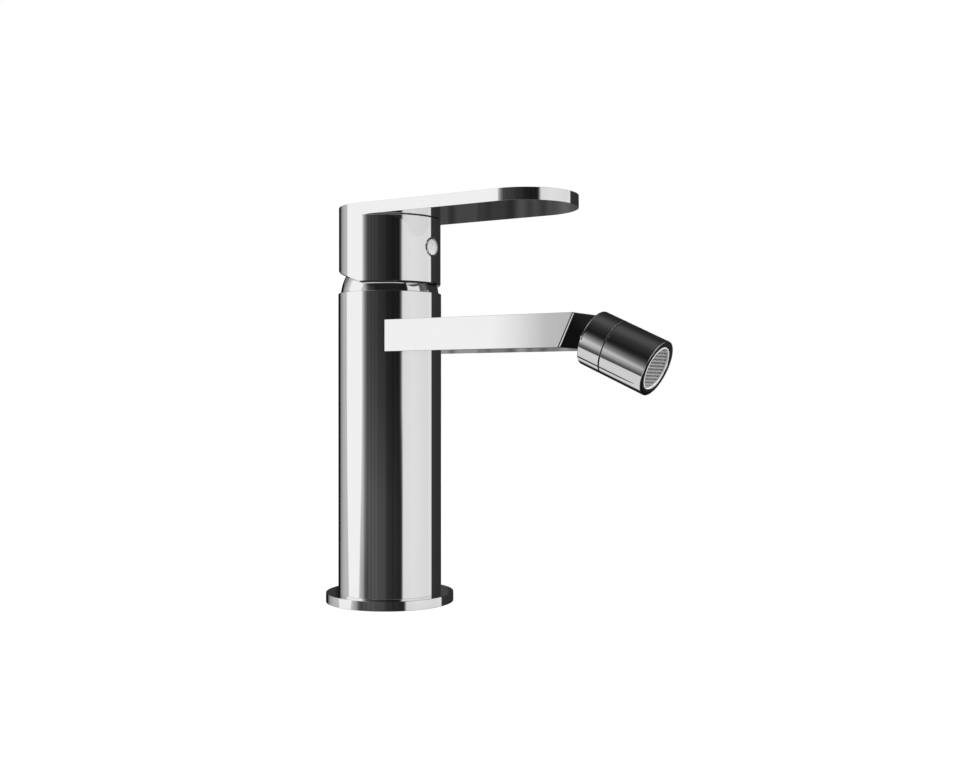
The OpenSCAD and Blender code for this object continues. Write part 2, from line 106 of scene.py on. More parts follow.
class MixerBodySizes(bpy.types.PropertyGroup):
    radius: length("Body radius", "Outside of the body tube", BODY_HIGH.x)
    top: length("Body top", "Height of the body's upper rim", BODY_HIGH.z)
    flange_radius: length("Flange radius", "Outside of the foot flange", FLANGE_HIGH.x)
    flange_height: length("Flange height", "Height of the foot flange", FLANGE_HIGH.z)
    spigot_radius: length("Spigot radius", "Tube end that fits in the flange", 21 * MM)
    cavity_radius: length("Cavity radius", "Room for the hoses", 19 * MM)
    chamber_radius: length("Chamber radius", "Bore for inlet block and cartridge", 20 * MM)
    chamber_floor: length("Chamber floor", "Height where the bore widens", BLOCK_LOW.z)
    fit: length("Fit", "Play between fixed pieces", 0.05 * MM)
    gasket_groove: length("Gasket groove", "Depth of the groove under the flange", GASKET_HIGH.z)
    gasket_outer: length("Groove radius", "Outside of the gasket groove", GASKET_HIGH.x)
    gasket_width: length("Groove width", "Width of the gasket", 2.9 * MM)
    dome_radius: length("Dome radius", "Round of the ring under the cap", 22.006 * MM)
    dome_drop: length("Dome drop", "Centre of the round below the body's rim", 2.1 * MM)
    dome_wall: length("Dome wall", "Thickness of the domed ring", 1.8 * MM)
    dome_foot: length("Dome foot", "Thickness of the ring's foot plate", 1.2 * MM)
    skirt: length("Dome skirt", "Thickness of the skirt in the body", 1.4 * MM)
    edge: length("Edge round", "Rounding of the visible rims", 0.3 * MM)


class MixerSpoutSizes(bpy.types.PropertyGroup):
    half_width: length("Half width", "Half of the bar's width", SPOUT_HIGH.x)
    low: length("Underside", "Height of the bar's underside", SPOUT_LOW.z)
    high: length("Top", "Height of the bar's top", SPOUT_HIGH.z)
    reach: length("Reach", "Foremost edge from the body's axis", -SPOUT_LOW.y)
    end_slope: angle("End slope", "Lean of the bar's end face", 25)
    wall: length("Wall", "Thickness of the bar's walls", 2.6 * MM)
    end_wall: length("End wall", "Metal behind the end face", 6 * MM)
    rear_wall: length("Rear wall", "Metal against the body", 3 * MM)
    port_radius: length("Port radius", "Outside of the tube into the body", 5.45 * MM)
    port_wall: length("Port wall", "Wall of the tube into the body", 1.2 * MM)
    edge: length("Edge round", "Rounding of the bar's long edges", 0.15 * MM)
    end_edge: length("End round", "Rounding of the end face's edges", 0.8 * MM)


class MixerHandleSizes(bpy.types.PropertyGroup):
    radius: length("Cap radius", "Outside of the cap and of the lever's end", HANDLE_HIGH.x)
    rim: length("Rim", "Height of the cap's rim at the front", HANDLE_LOW.z)
    top: length("Top", "Height of the lever's top", HANDLE_HIGH.z)
    reach: length("Reach", "Centre of the lever's end", -HANDLE_LOW.y - HANDLE_HIGH.x)
    lever: length("Lever", "Thickness of the lever", 5.2 * MM)
    wall: length("Wall", "Wall of the cap", 1.25 * MM)
    roof: length("Roof", "Metal under the lever in the cap", 1.5 * MM)
    rim_slope: angle("Rim slope", "Lean of the rim behind the axis", 18)
    fillet: length("Fillet", "Hollow round under the lever", 0.5 * MM)
    boss_radius: length("Boss radius", "Boss that takes the spindle", 8.5 * MM)
    boss_low: length("Boss", "Height of the boss's lower face", 151.1 * MM)
    plug_radius: length("Plug radius", "Plug over the grub screw", PLUG_HIGH.x)
    plug_front: length("Plug front", "Plug's face from the axis", -PLUG_LOW.y)
    plug_back: length("Plug back", "Plug's inner end from the axis", -PLUG_HIGH.y)
    bezel: length("Plug bezel", "Chrome edge round the plug's disc", 0.4 * MM)
    plug_groove: length("Plug groove", "Groove between bezel and disc", 0.5 * MM)
    plug_depth: length("Plug depth", "Depth of that groove", 0.6 * MM)
    plug_height: length("Plug height", "Height of the plug", (PLUG_LOW.z + PLUG_HIGH.z) / 2)
    edge: length("Edge round", "Rounding of the lever's edges", 0.1 * MM)
    bevel_width: length("Bevel width", "Bevel along the cap's rim, inwards", 0.42 * MM)
    bevel_height: length("Bevel height", "Bevel along the cap's rim, upwards", 0.5 * MM)


class MixerNozzleSizes(bpy.types.PropertyGroup):
    radius: length("Radius", "Outside of both sleeves", 11.7 * MM)
    gap: length("Gap", "From the spout's end face to the rear sleeve", 2.9 * MM)
    length: length("Length", "Both sleeves together", 30.3 * MM)
    collar: length("Rear sleeve", "Length of the rear sleeve", 10.5 * MM)
    ball_depth: length("Ball depth", "Ball's centre behind the rear rim", 8.5 * MM)
    ball_radius: length("Ball radius", "Swivel ball", 8.25 * MM)
    neck_radius: length("Neck radius", "Round neck between spout and ball", 5.8 * MM)
    stud_radius: length("Stud radius", "Stud in the spout's end", 4 * MM)
    stud_length: length("Stud length", "Stud in the spout's end", 7 * MM)
    bore: length("Stud bore", "Radius of the water way", 2.2 * MM)
    socket_radius: length("Socket radius", "Round of the rear sleeve's inside", 9.5 * MM)
    mouth_radius: length("Mouth radius", "Narrowest part of the mouth", 7.876 * MM)
    mouth_depth: length("Mouth depth", "Mouth's narrowest part behind the ball's centre", 5.312 * MM)
    mouth_flare: angle("Mouth flare", "Opening of the mouth", 11)
    spigot_radius: length("Spigot radius", "Rear sleeve's end in the front sleeve", 10.5 * MM)
    spigot_reach: length("Spigot reach", "Rear sleeve's end past the ball's centre", 4.5 * MM)
    sleeve_bore: length("Sleeve bore", "Inside of the front sleeve", 10.2 * MM)
    lip_radius: length("Lip radius", "Opening at the front", 9.2 * MM)
    lip_length: length("Lip length", "Thickness of the front lip", 1.1 * MM)
    screen_radius: length("Screen radius", "Outlet screen", 8.25 * MM)
    screen_sink: length("Screen sink", "Screen behind the front rim", 0.5 * MM)
    mesh_pitch: length("Grid pitch", "Step of the outlet grid", 1.4 * MM)
    bar: length("Grid bar", "Width of the grid's bars", 0.62 * MM)
    grid_depth: length("Grid depth", "Thickness of the grid", 1.8 * MM)
    grid_rim: length("Grid rim", "Width of the grid's rim", 0.5 * MM)
    grid_groove: length("Grid groove", "Groove between the grid and the insert's rim", 0.2 * MM)
    lip_groove: length("Lip groove", "Groove between the insert's rim and the sleeve's lip", 0.2 * MM)
    rim_sink: length("Rim sink", "Insert's rim behind the front", 0.06 * MM)
    insert_back: length("Insert back", "Rear end of the aerator insert", 23.9 * MM)
    plate_depth: length("Plate depth", "Jet plate inside the insert", 3 * MM)
    plate: length("Plate", "Thickness of the jet plate", 1.5 * MM)
    jets: bpy.props.IntProperty(name="Jets", description="Holes in the jet plate", default=12)
    jet_ring: length("Jet ring", "Radius of the ring of jets", 5.5 * MM)
    jet_radius: length("Jet radius", "Radius of a jet", 0.6 * MM)
    seam: length("Seam", "Shadow gap between the sleeves", 0.6 * MM)
    edge: length("Edge round", "Rounding of the sleeves' rims", 0.3 * MM)


class MixerFinishes(bpy.types.PropertyGroup):
    chrome: colour("Chrome", "Polished plating", (0.87, 0.872, 0.876))
    brass: colour("Brass", "Machined brass", (0.60, 0.42, 0.17))
    rubber: colour("Rubber", "Seals and gaskets", (0.022, 0.022, 0.023))
    white_plastic: colour("White plastic", "Moulded seats and housing", (0.88, 0.88, 0.865))
    grey_plastic: colour("Grey plastic", "Moulded turret and aerator", (0.36, 0.365, 0.37))
    ceramic: colour("Ceramic", "Lapped discs", (0.82, 0.81, 0.77))
    steel: colour("Steel", "Drawn steel", (0.55, 0.55, 0.54))


class MixerStudio(bpy.types.PropertyGroup):
    camera_place: bpy.props.FloatVectorProperty(
        name="Camera place", description="Where the camera stands", unit="LENGTH",
        default=(-0.43218, -0.30839, 0.09279))
    camera_azimuth: angle("Camera azimuth", "Side from which the camera looks", -58.86)
    lens: bpy.props.FloatProperty(
        name="Lens", description="Focal length on a 36 mm sensor", default=44.19, unit="CAMERA")
    lift: level("Picture lift", "Upward shift of the picture", 0.0099)
    tent_radius: length("Tent radius", "Ring of cards, from the mixer", 30)
    softbox: level("Left softbox", "Large light at the camera's left", 1.0)
    fill: level("Left fill", "Grey card behind the left softbox", 0.55)
    strip: level("Right softbox", "Light at the camera's right", 0.82)
    flag: level("Flags", "Dark cards between the lights", 0.03)
    ceiling: level("Ceiling", "Dark cloth overhead", 0.07)
    bounce: level("Floor bounce", "Pale floor as the metal sees it", 0.76)
    backdrop: level("Backdrop", "Low grey strip behind the mixer", 0.2)
    front_glow: level("Front glow", "Pale low part of the front flag", 1.0)
    softbox_azimuth: angle("Softbox azimuth", "Middle of the left softbox, from the camera", -84)
    rear_folds: level("Rear folds", "Fine upright folds of the rear cloth, per turn", 300)
    front_folds: level("Front folds", "Wider upright folds of the front cloth, per turn", 45)
    ambient: level("Ambient", "Even light from all round", 1.0)
    lamp_power: level("Lamp power", "Power of each soft lamp, in watts", 22)
    lamp_size: length("Lamp size", "Width of each soft lamp", 1.2)
    floor_half: length("Floor", "Half of the floor's width", 6)
    floor_matt: level("Floor matt", "Part of the floor that shows the shadow", 0.35)


class MixerSettings(bpy.types.PropertyGroup):
    body: bpy.props.PointerProperty(type=MixerBodySizes)
    spout: bpy.props.PointerProperty(type=MixerSpoutSizes)
    handle: bpy.props.PointerProperty(type=MixerHandleSizes)
    nozzle: bpy.props.PointerProperty(type=MixerNozzleSizes)
    finish: bpy.props.PointerProperty(type=MixerFinishes)
    studio: bpy.props.PointerProperty(type=MixerStudio)


def arc(radius, height, start, end, steps=24):
    """Corners of a round outline about the axis, from one angle above the level to another."""
    turns = [start + (end - start) * i / steps for i in range(steps + 1)]
    return [(radius * math.cos(t), height + radius * math.sin(t), 0) for t in turns]


def spun(corners, steps=SPIN_STEPS):
    """Solid of revolution from a closed outline of (radius, height, rounding)."""
    bm = bmesh.new()
    verts = [bm.verts.new((radius, 0, height)) for radius, height, _ in corners]
    for i, vert in enumerate(verts):
        bm.edges.new((verts[i - 1], vert))
    for vert, (_, _, rounding) in zip(verts, corners):
        if rounding:
            bmesh.ops.bevel(
                bm, geom=[vert], offset=rounding, offset_type="OFFSET", segments=ROUND_STEPS,
                profile=0.5, affect="VERTICES", material=-1)
    bmesh.ops.spin(
        bm, geom=bm.verts[:] + bm.edges[:], cent=(0, 0, 0), axis=(0, 0, 1), angle=FULL_TURN,
        steps=steps, use_merge=True)
    close_up(bm)
    return bm


def close_up(bm):
    """Merges doubles, drops edges left alone on the axis and turns the faces outwards."""
    bmesh.ops.remove_doubles(bm, verts=bm.verts, dist=MERGE)
    alone = [edge for edge in bm.edges if not edge.link_faces]
    bmesh.ops.delete(bm, geom=alone, context="EDGES")
    bmesh.ops.recalc_face_normals(bm, faces=bm.faces)


def drop_face(bm, face):
    """Extrudes one face and gives back the new one."""
    made = bmesh.ops.extrude_face_region(bm, geom=[face, *face.edges])["geom"]
    return next(item for item in made if isinstance(item, bmesh.types.BMFace))


def round_edges(bm, edges, size, steps=3):
    """Rounds the given edges."""
    bmesh.ops.bevel(
        bm, geom=edges, offset=size, offset_type="OFFSET", segments=steps, profile=0.5,
        affect="EDGES", material=-1, clamp_overlap=False)


def as_object(bm, name):
    """Object that holds the mesh, at the origin."""
    mesh = bpy.data.meshes.new(name)
    bm.to_mesh(mesh)
    bm.free()
    made = bpy.data.objects.new(name, mesh)
    bpy.context.scene.collection.objects.link(made)
    return made


def combined(operation, bm, *tools):
    """Cuts the tools out of a solid, keeps what they share with it, or welds them to it."""
    solid = as_object(bm, "solid")
    others = [as_object(tool, "tool") for tool in tools]
    for other in others:
        step = solid.modifiers.new("step", "BOOLEAN")
        step.operation = operation
        step.solver = "EXACT"
        step.object = other
    mesh = bpy.data.meshes.new_from_object(
        solid.evaluated_get(bpy.context.evaluated_depsgraph_get()))
    left = bmesh.new()
    left.from_mesh(mesh)
    for used in (solid, *others):
        data = used.data
        bpy.data.objects.remove(used)
        bpy.data.meshes.remove(data)
    bpy.data.meshes.remove(mesh)
    if not left.faces:
        raise RuntimeError("nothing is left of a piece")
    return left


def carve(bm, *tools):
    """Takes the tools' room out of a solid."""
    return combined("DIFFERENCE", bm, *tools)


def rod(radius, low, high, steps=64):
    """Cylinder on the vertical axis between two heights."""
    bm = bmesh.new()
    bmesh.ops.create_cone(
        bm, cap_ends=True, segments=steps, radius1=radius, radius2=radius, depth=high - low,
        matrix=Matrix.Translation((0, 0, (low + high) / 2)))
    return bm


def moved(bm, matrix):
    """The same mesh in another place."""
    bmesh.ops.transform(bm, matrix=matrix, verts=bm.verts)
    return bm


def forward(height):
    """Turns the vertical axis to the front, at a height."""
    return Matrix.Translation((0, 0, height)) @ Matrix.Rotation(math.pi / 2, 4, "X")


def nozzle_place(sizes):
    """Frame of the nozzle: its axis outwards from the spout's end face."""
    axis = Vector(SPIN["axis"]).normalized()
    across = Vector((1, 0, 0))
    turn = Matrix((across, axis.cross(across), axis)).transposed().to_4x4()
    face = Vector(SPIN["pos_m"]) - axis * (sizes.gap + sizes.ball_depth)
    return Matrix.Translation(face) @ turn


def add_piece(bm, name, body, slot, *nodes):
    """Finished piece: smooth, sharp where it has edges, riding on its body."""
    close_up(bm)
    piece = as_object(bm, name)
    piece.data.shade_smooth()
    piece.data.set_sharp_from_angle(angle=SHARP)
    flat = piece.modifiers.new("flat faces", "WEIGHTED_NORMAL")
    flat.mode = "FACE_AREA"
    flat.weight = 50
    flat.keep_sharp = True
    piece.data.materials.append(finish(slot))
    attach(piece, body)
    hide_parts(*nodes)
    piece.visible_glossy = body != "nozzle"
    return piece


def add_node(tree, kind, values=None, **settings):
    """New shader node with its settings. Each socket is linked to an output or set to a value."""
    node = tree.nodes.new("ShaderNode" + kind)
    for name, setting in settings.items():
        setattr(node, name, setting)
    for name, value in (values or {}).items():
        if isinstance(value, bpy.types.NodeSocket):
            tree.links.new(value, node.inputs[name])
        else:
            node.inputs[name].default_value = value
    return node


def new_group(name, inputs, output):
    """Empty node group with its ends."""
    group = bpy.data.node_groups.new(name, "ShaderNodeTree")
    for label, kind, value in inputs:
        socket = group.interface.new_socket(label, in_out="INPUT", socket_type=kind)
        if value is not None:
            socket.default_value = value
    group.interface.new_socket(output, in_out="OUTPUT", socket_type="NodeSocketFloat")
    start, end = group.nodes.new("NodeGroupInput"), group.nodes.new("NodeGroupOutput")
    return group, start.outputs, end.inputs[output]


def clouding_group():
    """Soft patches, as handling and polishing leave on a surface."""
    name = "clouding"
    if name in bpy.data.node_groups:
        return bpy.data.node_groups[name]
    group, given, end = new_group(
        name,
        [("Vector", "NodeSocketVector", None), ("Scale", "NodeSocketFloat", 60),
         ("Low", "NodeSocketFloat", 0), ("High", "NodeSocketFloat", 1)],
        "Value")
    noise = add_node(group, "TexNoise", {
        "Vector": given["Vector"], "Scale": given["Scale"], "Detail": 4, "Roughness": 0.55})
    spread = add_node(group, "MapRange", {
        "Value": noise.outputs["Fac"], "From Min": 0.32, "From Max": 0.68,
        "To Min": given["Low"], "To Max": given["High"]}, interpolation_type="SMOOTHSTEP")
    group.links.new(spread.outputs["Result"], end)
    return group


def hairline_group():
    """Fine lines round the piece, as turning, lapping and wiping leave them."""
    name = "hairlines"
    if name in bpy.data.node_groups:
        return bpy.data.node_groups[name]
    group, given, end = new_group(
        name,
        [("Vector", "NodeSocketVector", None), ("Fineness", "NodeSocketFloat", 6000),
         ("Stretch", "NodeSocketFloat", 0.02)],
        "Height")
    parts = add_node(group, "SeparateXYZ", {0: given["Vector"]}).outputs
    joined = add_node(group, "CombineXYZ", {"Z": parts["Z"]})
    for axis in ("X", "Y"):
        drawn_out = add_node(group, "Math", {0: parts[axis], 1: given["Stretch"]}, operation="MULTIPLY")
        group.links.new(drawn_out.outputs[0], joined.inputs[axis])
    noise = add_node(group, "TexNoise", {
        "Vector": joined.outputs[0], "Scale": given["Fineness"], "Detail": 3})
    group.links.new(noise.outputs["Fac"], end)
    return group


FINISHES = {
    # slot: metallic, roughness from and to, patches per metre, darker patches, line fineness, bump
    "chrome": (1.0, (0.018, 0.045), 70, 0.985, 9000, 0.0),
    "brass": (1.0, (0.22, 0.34), 160, 0.82, 5200, 0.10),
    "rubber": (0.0, (0.62, 0.80), 900, 0.70, 2600, 0.22),
    "white_plastic": (0.0, (0.34, 0.46), 500, 0.95, 3000, 0.06),
    "grey_plastic": (0.0, (0.36, 0.50), 500, 0.90, 3000, 0.07),
    "ceramic": (0.0, (0.10, 0.17), 300, 0.96, 7000, 0.02),
    "steel": (1.0, (0.24, 0.36), 260, 0.88, 8000, 0.08),
}
BUMP_DEPTH = 0.02 * MM
HAZE_FINENESS = 2.7


def finish(slot):
    """Procedural finish of one material slot."""
    made = bpy.data.materials.get(slot)
    if made and made.get("mixer_finish"):
        return made
    metallic, (smooth, rough), patches, darker, lines, bump = FINISHES[slot]
    base = getattr(bpy.context.scene.mixer.finish, slot)
    made = bpy.data.materials.new(slot)
    made["mixer_finish"] = True
    made.use_nodes = True
    tree = made.node_tree
    shader = tree.nodes["Principled BSDF"].inputs
    shader["Metallic"].default_value = metallic
    place = add_node(tree, "TexCoord").outputs["Object"]
    clouds = add_node(tree, "Group", {"Vector": place, "Scale": patches}, node_tree=clouding_group())
    tint = add_node(tree, "Mix", {
        "Factor": clouds.outputs["Value"], "A": (*base, 1), "B": (*(part * darker for part in base), 1),
    }, data_type="RGBA")
    tree.links.new(tint.outputs["Result"], shader["Base Color"])
    haze = add_node(tree, "Group", {
        "Vector": place, "Scale": patches * HAZE_FINENESS, "Low": smooth, "High": rough,
    }, node_tree=clouding_group())
    tree.links.new(haze.outputs["Value"], shader["Roughness"])
    if bump:
        marks = add_node(tree, "Group", {"Vector": place, "Fineness": lines}, node_tree=hairline_group())
        relief = add_node(tree, "Bump", {
            "Height": marks.outputs["Height"], "Strength": bump, "Distance": BUMP_DEPTH})
        tree.links.new(relief.outputs["Normal"], shader["Normal"])
    return made


class MIXER_OT_foot(bpy.types.Operator):
    """Foot flange with its groove for the gasket"""
    bl_idname = "mixer.foot"
    bl_label = "Foot flange"

    def execute(self, context):
        s = context.scene.mixer.body
        inner = s.spigot_radius + s.fit
        groove_out = s.gasket_outer + s.fit
        groove_in = s.gasket_outer - s.gasket_width - s.fit
        add_piece(spun([
            (inner, 0, s.edge / 2), (groove_in, 0, 0), (groove_in, s.gasket_groove, 0),
            (groove_out, s.gasket_groove, 0), (groove_out, 0, 0), (s.flange_radius, 0, s.edge / 2),
            (s.flange_radius, s.flange_height, s.edge / 2), (inner, s.flange_height, 0),
        ]), "foot_flange", "mixer", "chrome", "base_flange").visible_glossy = False
        return {"FINISHED"}


class MIXER_OT_body(bpy.types.Operator):
    """Body tube with its bore, its hose room and the spout's port"""
    bl_idname = "mixer.body"
    bl_label = "Body"

    def execute(self, context):
        s = context.scene.mixer.body
        port = context.scene.mixer.spout
        port_height = (port.low + port.high) / 2
        margin = 0.6 * MM
        tube = spun([
            (s.spigot_radius, 0, s.edge), (s.spigot_radius, s.flange_height, 0),
            (s.radius, s.flange_height, s.edge / 6), (s.radius, port.low + margin, 0),
            (s.radius, port.high - margin, 0), (s.radius, s.top, s.edge),
            (s.chamber_radius, s.top, s.edge), (s.chamber_radius, s.chamber_floor, 0),
            (s.cavity_radius, s.chamber_floor, 0), (s.cavity_radius, 0, s.edge),
        ])
        hole = moved(rod(port.port_radius + s.fit, 0, 2 * s.radius), forward(port_height))
        add_piece(carve(tube, hole), "body_tube", "mixer", "chrome", "body")
        return {"FINISHED"}


class MIXER_OT_dome(bpy.types.Operator):
    """Domed ring between the body and the cap"""
    bl_idname = "mixer.dome"
    bl_label = "Domed ring"

    def execute(self, context):
        s = context.scene.mixer.body
        centre = s.top - s.dome_drop
        outer, inner = s.dome_radius, s.dome_radius - s.dome_wall
        rise = DOME_HIGH.z - centre
        foot_top = s.top + s.dome_foot
        skirt_outer = s.chamber_radius - s.fit
        skirt_inner = skirt_outer - s.skirt
        shell = arc(outer, centre, math.asin(s.dome_drop / outer), math.asin(rise / outer))
        inside = arc(inner, centre, math.asin(rise / inner), math.asin((foot_top - centre) / inner))
        add_piece(spun([
            *shell, *inside, (skirt_inner, foot_top, 0), (skirt_inner, DOME_LOW.z, s.edge),
            (skirt_outer, DOME_LOW.z, s.edge), (skirt_outer, s.top, 0),
        ]), "dome_ring_shell", "mixer", "chrome", "dome_ring")
        return {"FINISHED"}


class MIXER_OT_handle(bpy.types.Operator):
    """Cap and flat lever in one casting"""
    bl_idname = "mixer.handle"
    bl_label = "Handle"

    def execute(self, context):
        s = context.scene.mixer.handle
        bm = bmesh.new()
        under = s.top - s.lever
        self.plate(bm, s, under)
        ring = self.fillet(bm, s, under)
        self.cap(bm, s, ring, under)
        self.rounding(bm, s, under)
        add_piece(self.bored(bm, s), "lever_handle", "handle", "chrome", "handle")
        return {"FINISHED"}

    def plate(self, bm, s, under):
        """Lever plate: a disc whose front half is drawn out to the tip."""
        bmesh.ops.create_circle(
            bm, cap_ends=True, radius=s.radius, segments=2 * SPIN_STEPS,
            matrix=Matrix.Translation((0, 0, under)))
        front = [v for v in bm.verts if v.co.y < -MERGE]
        bmesh.ops.translate(bm, vec=(0, -s.reach, 0), verts=front)
        upper = drop_face(bm, bm.faces[:][0])
        bmesh.ops.translate(bm, vec=(0, 0, s.lever), verts=upper.verts)

    def fillet(self, bm, s, under, steps=8, arc_steps=160):
        """Hollow round from the lever's underside to the cap's wall. Gives back the cap's ring face."""
        lower = min(bm.faces, key=lambda f: f.calc_center_median().z)
        ends = {}
        reach = math.sqrt((s.radius + s.fillet) ** 2 - s.radius ** 2)
        for edge in [e for e in lower.edges if e.calc_length() > s.reach / 2]:
            rear = max(edge.verts, key=lambda v: v.co.y)
            _, vert = bmesh.utils.edge_split(edge, rear, reach / edge.calc_length())
            ends[vert.co.x > 0] = vert
        start = math.acos(s.radius / (s.radius + s.fillet))
        turns = [start + (math.pi - 2 * start) * i / arc_steps for i in range(1, arc_steps)]
        wide = s.radius + s.fillet
        bmesh.utils.face_split(
            lower, ends[True], ends[False],
            coords=[(wide * math.cos(t), -wide * math.sin(t), under) for t in turns])
        level_faces = [f for f in bm.faces
                       if abs(f.normal.z) > 0.9 and f.calc_center_median().z < under + MERGE]
        ring = max(level_faces, key=lambda f: f.calc_center_median().y)
        for step in range(1, steps + 1):
            turn = math.pi / 2 * step / steps
            spread = s.fillet * (1 - math.sin(turn))
            following = math.acos(s.radius / (s.radius + spread))
            ring = drop_face(bm, ring)
            for vert in ring.verts:
                vert.co.z = under - s.fillet * (1 - math.cos(turn))
                if vert.co.y < -MERGE:
                    share = (math.atan2(-vert.co.y, vert.co.x) - start) / (math.pi - 2 * start)
                    at = following + share * (math.pi - 2 * following)
                    vert.co.x = (s.radius + spread) * math.cos(at)
                    vert.co.y = -(s.radius + spread) * math.sin(at)
            start = following
        return ring

    def cap(self, bm, s, ring, under):
        """Cap's wall down to its bevelled rim, its bore, its roof and the boss for the spindle."""
        ring = drop_face(bm, ring)
        for vert in ring.verts:
            vert.co.z = s.rim + s.bevel_height
        ring = drop_face(bm, ring)
        inward = 1 - s.bevel_width / s.radius
        for vert in ring.verts:
            vert.co = (vert.co.x * inward, vert.co.y * inward, s.rim)
        bmesh.ops.remove_doubles(bm, verts=bm.verts, dist=MERGE)
        ring = min((f for f in bm.faces if len(f.verts) > SPIN_STEPS),
                   key=lambda f: f.calc_center_median().z)
        bmesh.ops.inset_region(bm, faces=[ring], thickness=s.wall - s.bevel_width, use_even_offset=True)
        for vert in bm.verts:
            if vert.co.z < s.rim + s.bevel_height + MERGE and vert.co.y > 0:
                vert.co.z += vert.co.y * math.tan(s.rim_slope)
        roof = drop_face(bm, ring)
        for vert in roof.verts:
            vert.co.z = under - s.roof
        bmesh.ops.inset_region(
            bm, faces=[roof], thickness=s.radius - s.wall - s.boss_radius, use_even_offset=True)
        boss = drop_face(bm, roof)
        for vert in boss.verts:
            vert.co.z = s.boss_low

    def rounding(self, bm, s, under):
        """Rounds the lever's outline, above and below, and the mouth of the cap."""
        bmesh.ops.recalc_face_normals(bm, faces=bm.faces)
        outline, mouth = [], []
        for edge in bm.edges:
            if edge.calc_face_angle(0) < CAP_CORNER:
                continue
            middle = (edge.verts[0].co + edge.verts[1].co) / 2
            from_axis = math.hypot(middle.x, middle.y)
            rim_height = s.rim + max(middle.y, 0) * math.tan(s.rim_slope)
            if min(abs(middle.z - s.top), abs(middle.z - under)) < MERGE:
                outline.append(edge)
            elif abs(middle.z - rim_height) < s.edge and abs(from_axis - s.radius + s.wall) < s.edge:
                mouth.append(edge)
        round_edges(bm, outline, s.edge)
        round_edges(bm, mouth, s.edge)

    def bored(self, bm, s):
        """Square hole for the spindle and round hole for the plug."""
        spindle_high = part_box("spindle")[1]
        margin = 0.05 * MM
        half = spindle_high.x + margin
        low, high = s.boss_low - s.boss_radius, spindle_high.z + margin
        square = bmesh.new()
        bmesh.ops.create_cube(square, size=1, matrix=(
            Matrix.Translation((0, 0, (low + high) / 2))
            @ Matrix.Diagonal((2 * half, 2 * half, high - low, 1))))
        hole = moved(rod(s.plug_radius + margin, s.boss_radius, 2 * s.radius), forward(s.plug_height))
        return carve(bm, square, hole)


class MIXER_OT_plug(bpy.types.Operator):
    """Plug that covers the grub screw in the cap"""
    bl_idname = "mixer.plug"
    bl_label = "Index plug"

    def execute(self, context):
        s = context.scene.mixer.handle
        mouth = s.plug_radius - s.bezel
        disc = mouth - s.plug_groove
        floor = s.plug_front - s.plug_depth
        bezel = spun([
            (0, s.plug_back, 0), (s.plug_radius, s.plug_back, s.edge),
            (s.plug_radius, s.plug_front, 1.5 * s.edge), (mouth, s.plug_front, 1.5 * s.edge),
            (mouth, floor, 0), (0, floor, 0),
        ], PLUG_STEPS)
        add_piece(moved(bezel, forward(s.plug_height)), "screw_plug", "handle", "chrome", "index_plug")
        button = spun([
            (0, floor, 0), (disc, floor, 0), (disc, s.plug_front, 2 * s.edge), (0, s.plug_front, 0),
        ], PLUG_STEPS)
        add_piece(moved(button, forward(s.plug_height)), "index_disc", "handle", "white_plastic")
        return {"FINISHED"}


class MIXER_OT_spout(bpy.types.Operator):
    """Flat bar spout with its slanted end"""
    bl_idname = "mixer.spout"
    bl_label = "Spout"

    def execute(self, context):
        s = context.scene.mixer.spout
        body = context.scene.mixer.body
        nozzle = context.scene.mixer.nozzle
        bm = self.bar(s, 0, 0, 0)
        self.seated(bm, s, body.radius + body.fit)
        room = self.bar(s, s.wall, s.end_wall, body.radius + s.rear_wall)
        port_place = forward((s.low + s.high) / 2)
        inner_end, outer_end = body.chamber_radius, body.radius + s.rear_wall
        tube = moved(rod(s.port_radius, inner_end, outer_end), port_place)
        bore = moved(rod(s.port_radius - s.port_wall, inner_end - s.wall, outer_end + s.wall), port_place)
        stud_hole = moved(rod(nozzle.stud_radius + body.fit, -nozzle.stud_length, s.wall),
                          nozzle_place(nozzle))
        bm = carve(combined("UNION", bm, tube), room, bore, stud_hole)
        add_piece(bm, "bar_spout", "mixer", "chrome", "spout")
        return {"FINISHED"}

    def bar(self, s, wall, end_wall, rear):
        """Bar with the spout's slanted end, smaller all round by the walls."""
        bm = bmesh.new()
        bmesh.ops.create_cube(bm, size=2)
        low, high = s.low + wall, s.high - wall
        reach = s.reach - wall * math.tan(s.end_slope) - end_wall / math.cos(s.end_slope)
        for vert in bm.verts:
            top, front = vert.co.z > 0, vert.co.y < 0
            lean = 0 if top else (high - low) * math.tan(s.end_slope)
            vert.co = (math.copysign(s.half_width - wall, vert.co.x),
                       -reach + lean if front else -rear, high if top else low)
        return bm

    def seated(self, bm, s, seat):
        """Rounds the bar's edges and hollows its rear end to the body's round."""
        for vert in bm.verts:
            if vert.co.y > -MERGE:
                vert.co.y = -seat
        crosswise = [e for e in bm.edges if abs(e.verts[0].co.x - e.verts[1].co.x) > s.half_width]
        bmesh.ops.subdivide_edges(bm, edges=crosswise, cuts=63, use_grid_fill=True)
        for vert in bm.verts:
            if vert.co.y > -seat - MERGE:
                vert.co.y = -math.sqrt(seat ** 2 - vert.co.x ** 2)
        bmesh.ops.recalc_face_normals(bm, faces=bm.faces)
        rims = [e for e in bm.edges
                if e.calc_face_angle(0) > BAR_CORNER
                and min(v.co.y for v in e.verts) < -seat - MERGE]
        round_edges(bm, [e for e in rims if not self.lengthwise(e, s)], s.end_edge)
        bmesh.ops.recalc_face_normals(bm, faces=bm.faces)
        round_edges(bm, [e for e in bm.edges if self.lengthwise(e, s)], s.edge)

    def lengthwise(self, edge, s):
        """Is this one of the bar's four long edges."""
        long = abs(edge.verts[0].co.y - edge.verts[1].co.y) > s.reach / 2
        return long and edge.calc_face_angle(0) > BAR_CORNER


